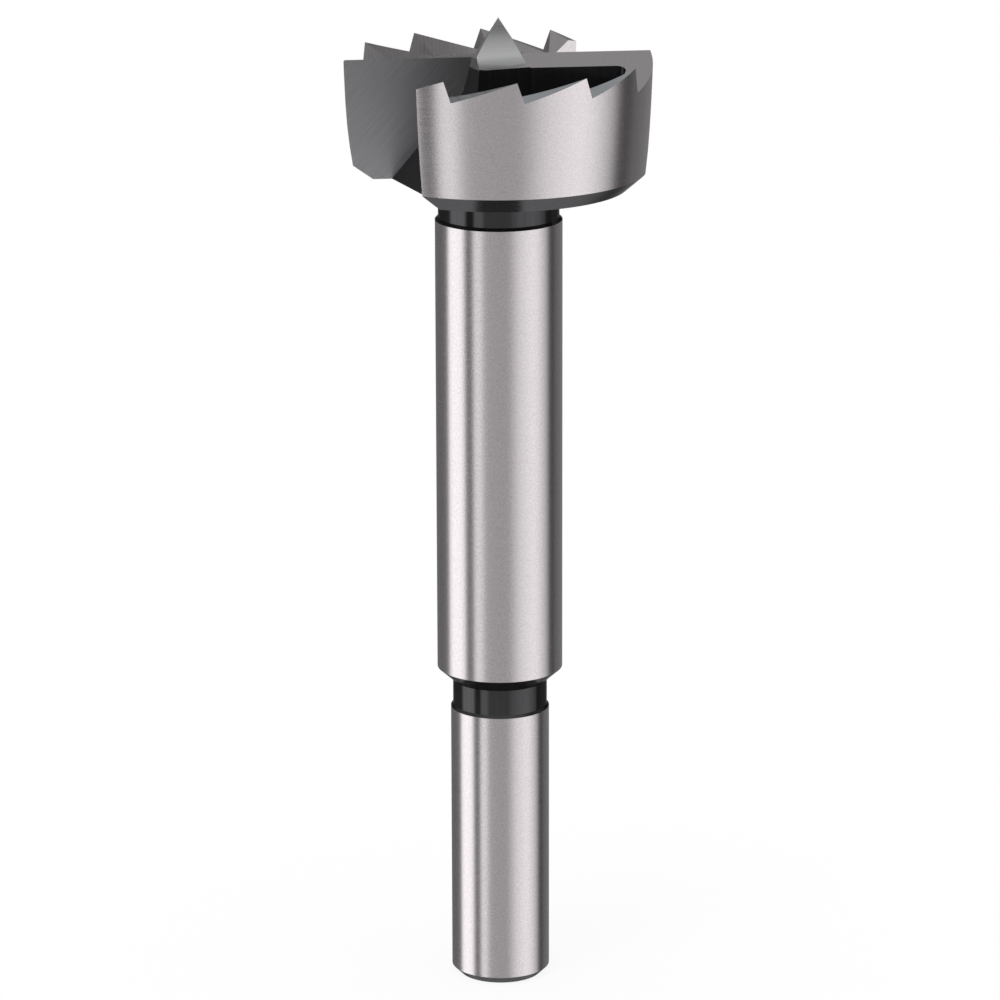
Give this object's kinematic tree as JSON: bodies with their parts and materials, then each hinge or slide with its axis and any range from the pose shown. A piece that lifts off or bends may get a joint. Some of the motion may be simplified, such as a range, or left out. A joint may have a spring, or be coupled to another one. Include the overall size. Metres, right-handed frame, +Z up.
{
  "type": "forstner bit",
  "caption": "Saw-tooth Forstner drill bit with a straight round shank, toothed rim, flat cutting lips, chip gullets and a centre point.",
  "frame": {"origin": "centre of the shank end, on the surface that the bit stands on", "axes": "+Z up the shank to the centre point, X along the two cutting lips"},
  "size_m": [0.0304, 0.0304, 0.0995],
  "materials": {
    "tool_steel": "satin"
  },
  "bodies": {
    "root": {"forstner_bit": "tool_steel"}
  },
  "joints": []
}
